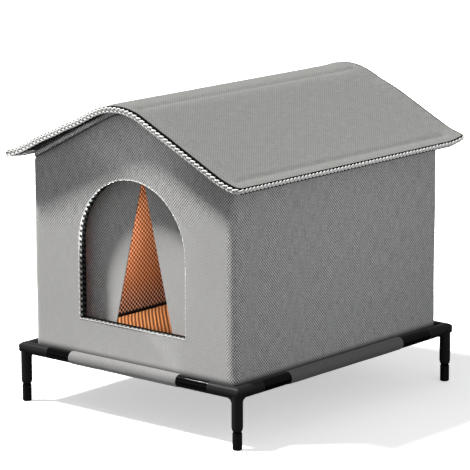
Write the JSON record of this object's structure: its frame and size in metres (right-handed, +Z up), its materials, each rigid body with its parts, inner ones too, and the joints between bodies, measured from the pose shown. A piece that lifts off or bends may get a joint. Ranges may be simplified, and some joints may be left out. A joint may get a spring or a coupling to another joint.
{
  "type": "cat house",
  "caption": "Padded outdoor cat house with a swept gable roof, an arched doorway with two hanging cloth flaps, and a raised stand of black tubes.",
  "frame": {"origin": "on the ground, under the middle of the house", "axes": "+X to the right seen from the doorway, +Y from the doorway to the rear, +Z up"},
  "size_m": [0.487, 0.569, 0.5],
  "materials": {
    "tube_black": "glossy black powder coat on steel tube",
    "fitting_black": "matte moulded black plastic",
    "foot_rubber": "matte black rubber",
    "woven_grey": "coarse grey woven cloth with a small diamond weave",
    "roof_cloth": "fine grey woven cloth",
    "flap_cloth": "smooth light grey cloth",
    "orange_mesh": "open burnt-orange knitted mesh with pale nubs",
    "stiffener_board": "light stiff foam-filled board",
    "pale_binding": "pale twisted cord binding",
    "hook_tape": "dark grey hook-and-loop tape"
  },
  "bodies": {
    "stand_and_cabin": {"front_rail": "tube_black", "rear_rail": "tube_black", "left_rail": "tube_black", "right_rail": "tube_black", "front_left_fitting": "fitting_black", "front_right_fitting": "fitting_black", "rear_left_fitting": "fitting_black", "rear_right_fitting": "fitting_black", "front_left_leg": "tube_black", "front_right_leg": "tube_black", "rear_left_leg": "tube_black", "rear_right_leg": "tube_black", "front_left_foot_cap": "foot_rubber", "front_right_foot_cap": "foot_rubber", "rear_left_foot_cap": "foot_rubber", "rear_right_foot_cap": "foot_rubber", "deck_cloth": "woven_grey", "front_sleeve": "woven_grey", "rear_sleeve": "woven_grey", "left_sleeve": "woven_grey", "right_sleeve": "woven_grey", "base_cover": "woven_grey", "base_board": "stiffener_board", "floor_mat": "orange_mesh", "front_cover": "woven_grey", "rear_cover": "woven_grey", "left_cover": "woven_grey", "right_cover": "woven_grey", "front_board": "stiffener_board", "rear_board": "stiffener_board", "left_board": "stiffener_board", "right_board": "stiffener_board", "front_lining": "orange_mesh", "rear_lining": "orange_mesh", "left_lining": "orange_mesh", "right_lining": "orange_mesh", "front_hem": "woven_grey", "rear_hem": "woven_grey", "right_hem": "woven_grey", "front_hook_tape": "hook_tape", "rear_hook_tape": "hook_tape", "right_hook_tape": "hook_tape", "roof_hinge_piping": "woven_grey", "door_binding": "pale_binding", "flap_header": "woven_grey"},
    "roof": {"roof_cover": "roof_cloth", "roof_left_board": "stiffener_board", "roof_right_board": "stiffener_board", "roof_lining": "roof_cloth", "roof_binding": "pale_binding", "front_loop_tape": "hook_tape", "rear_loop_tape": "hook_tape", "right_loop_tape": "hook_tape"},
    "left_flap": {"left_flap": "flap_cloth"},
    "right_flap": {"right_flap": "flap_cloth"}
  },
  "joints": [
    {"name": "roof_lift", "type": "hinge", "parent": "stand_and_cabin", "child": "roof", "pos_m": [-0.207, 0, 0.39684], "axis": [0, -1, 0], "range_deg": [0, 60]},
    {"name": "left_flap_swing", "type": "hinge", "parent": "stand_and_cabin", "child": "left_flap", "pos_m": [0, -0.2225, 0.384], "axis": [1, 0, 0], "range_deg": [0, 75]},
    {"name": "right_flap_swing", "type": "hinge", "parent": "stand_and_cabin", "child": "right_flap", "pos_m": [0, -0.2225, 0.384], "axis": [1, 0, 0], "range_deg": [0, 75]}
  ]
}
